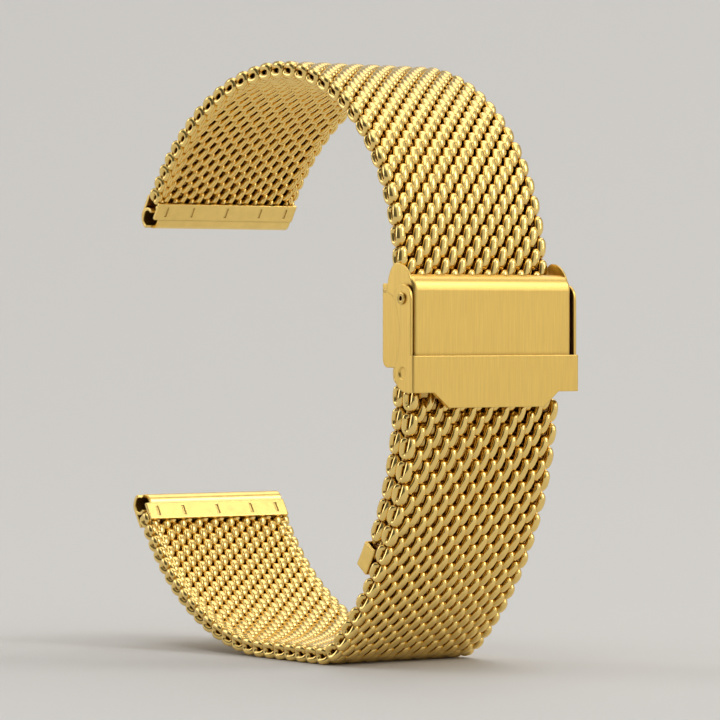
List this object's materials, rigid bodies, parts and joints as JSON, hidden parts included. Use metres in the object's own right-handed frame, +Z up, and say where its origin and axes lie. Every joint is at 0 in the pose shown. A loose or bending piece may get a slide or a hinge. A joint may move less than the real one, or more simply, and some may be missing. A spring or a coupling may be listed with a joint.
{
  "type": "milanese mesh watch band",
  "caption": "Woven steel mesh watch band with rolled lug tubes and an adjustable sliding hook clasp with a locking flap and a fold-over safety clip.",
  "frame": {"origin": "middle of the band's bounding box, on the floor under the foot of the loop", "axes": "+Z up, +X towards the clasp, Y across the band; the gap for the watch opens to -X"},
  "size_m": [0.0574, 0.0222, 0.0658],
  "materials": {
    "mesh_wire": "polished gold-tone plating on woven steel wire",
    "brushed_sheet": "gold-tone plating on steel sheet with a fine vertical brushing",
    "polished_fittings": "polished gold-tone plating"
  },
  "bodies": {
    "foot": {"lower_mesh_foot": "mesh_wire"},
    "lower_left": {"lower_mesh_left": "mesh_wire", "lower_lug_tube": "polished_fittings", "lower_clamp_plate": "brushed_sheet"},
    "lower_right": {"lower_mesh_right": "mesh_wire", "strap_end_tube": "polished_fittings"},
    "cover": {"clasp_cover": "brushed_sheet", "strap_hinge_pin": "polished_fittings", "safety_rivet_near": "polished_fittings", "safety_rivet_far": "polished_fittings"},
    "safety_clip": {"safety_clip": "brushed_sheet"},
    "slider": {"slider_frame": "brushed_sheet", "hook_bar": "polished_fittings", "lock_flap_pin": "polished_fittings"},
    "lock_flap": {"lock_flap": "brushed_sheet"},
    "grip": {"upper_mesh_grip": "mesh_wire"},
    "upper_right": {"upper_mesh_right": "mesh_wire"},
    "upper_left": {"upper_mesh_left": "mesh_wire", "upper_lug_tube": "polished_fittings", "upper_clamp_plate": "brushed_sheet"},
    "tail": {"tail_mesh": "mesh_wire", "tail_end_cap": "brushed_sheet"}
  },
  "joints": [
    {"name": "lower_left_flex", "type": "hinge", "parent": "foot", "child": "lower_left", "pos_m": [-0.00899, 0, 0.00186], "axis": [0, 1, 0], "range_deg": [-30, 20]},
    {"name": "lower_right_flex", "type": "hinge", "parent": "foot", "child": "lower_right", "pos_m": [0.01247, 0, 0.00213], "axis": [0, 1, 0], "range_deg": [-12, 15]},
    {"name": "cover_hinge", "type": "hinge", "parent": "lower_right", "child": "cover", "pos_m": [0.02603, 0, 0.0312], "axis": [0, 1, 0], "range_deg": [0, 10]},
    {"name": "safety_clip_hinge", "type": "hinge", "parent": "cover", "child": "safety_clip", "pos_m": [0.02668, 0, 0.0396], "axis": [0, -1, 0], "range_deg": [0, 110]},
    {"name": "hook_swing", "type": "hinge", "parent": "cover", "child": "slider", "pos_m": [0.02638, 0, 0.04045], "axis": [0, 1, 0], "range_deg": [0, 55]},
    {"name": "lock_flap_hinge", "type": "hinge", "parent": "slider", "child": "lock_flap", "pos_m": [0.02238, 0, 0.0404], "axis": [0, 1, 0], "range_deg": [0, 100]},
    {"name": "strap_slide", "type": "slide", "parent": "slider", "child": "grip", "axis": [0, 0, 1], "range_m": [0, 0.005]},
    {"name": "upper_right_flex", "type": "hinge", "parent": "grip", "child": "upper_right", "pos_m": [0.02391, 0, 0.0427], "axis": [0, 1, 0], "range_deg": [-12, 20]},
    {"name": "upper_left_flex", "type": "hinge", "parent": "upper_right", "child": "upper_left", "pos_m": [0.00093, 0, 0.0648], "axis": [0, 1, 0], "range_deg": [-20, 30]},
    {"name": "tail_flex", "type": "hinge", "parent": "grip", "child": "tail", "pos_m": [0.02367, 0, 0.02691], "axis": [0, 1, 0], "range_deg": [0, 30]}
  ]
}
